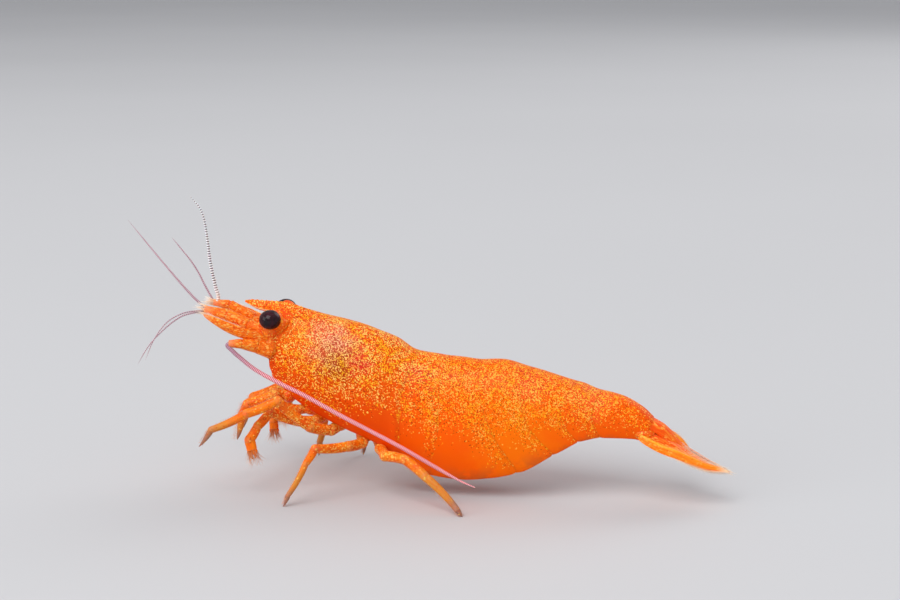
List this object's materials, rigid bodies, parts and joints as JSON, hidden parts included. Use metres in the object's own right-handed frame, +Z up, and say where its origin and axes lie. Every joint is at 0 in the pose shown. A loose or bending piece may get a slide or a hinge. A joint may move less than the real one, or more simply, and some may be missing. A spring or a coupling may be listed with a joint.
{
  "type": "dwarf aquarium shrimp model",
  "caption": "Life-size still model of an adult female dwarf freshwater shrimp, walking with its feelers spread and its tail fan nearly closed.",
  "frame": {"origin": "middle of the model's floor plan, at the level the feet stand on", "axes": "+X towards the tail along the animal's length, +Y towards the animal's right side, +Z up; the head points to -X"},
  "size_m": [0.038, 0.0112, 0.0171],
  "materials": {
    "shell": "glossy translucent orange chitin with fine cream flecks",
    "soft_skin": "smooth soft orange cuticle, satin",
    "limb": "translucent orange chitin with gold flecks and paler joints, semi-gloss",
    "feeler": "pale pinkish ringed cuticle, semi-gloss",
    "eye": "black, polished, wet-looking"
  },
  "bodies": {
    "root": {"carapace": "shell", "abdomen_1": "shell", "abdomen_2": "shell", "abdomen_3": "shell", "abdomen_4": "shell", "abdomen_5": "shell", "abdomen_6": "shell", "sternum": "soft_skin", "brow": "soft_skin", "rostrum": "shell", "eye_left": "eye", "eyestalk_left": "soft_skin", "antennule_left": "limb", "antenna_base_left": "limb", "antenna_scale_left": "limb", "eye_right": "eye", "eyestalk_right": "soft_skin", "antennule_right": "limb", "antenna_base_right": "limb", "antenna_scale_right": "limb", "antennule_outer_left": "feeler", "antennule_inner_left": "feeler", "antennule_outer_right": "feeler", "antennule_inner_right": "feeler", "antenna_left_1": "feeler", "antenna_left_2": "feeler", "antenna_left_3": "feeler", "antenna_right_1": "feeler", "antenna_right_2": "feeler", "maxilliped_left": "limb", "maxilliped_right": "limb", "leg_1_left": "limb", "leg_1_right": "limb", "leg_2_left": "limb", "leg_2_right": "limb", "leg_3_left": "limb", "leg_3_right": "limb", "leg_4_left": "limb", "leg_4_right": "limb", "leg_5_left": "limb", "leg_5_right": "limb", "swimmeret_1_left": "limb", "swimmeret_1_right": "limb", "swimmeret_2_left": "limb", "swimmeret_2_right": "limb", "swimmeret_3_left": "limb", "swimmeret_3_right": "limb", "swimmeret_4_left": "limb", "swimmeret_4_right": "limb", "swimmeret_5_left": "limb", "swimmeret_5_right": "limb", "telson": "shell", "uropod_inner_left": "shell", "uropod_outer_left": "shell", "uropod_inner_right": "shell", "uropod_outer_right": "shell"}
  },
  "joints": []
}
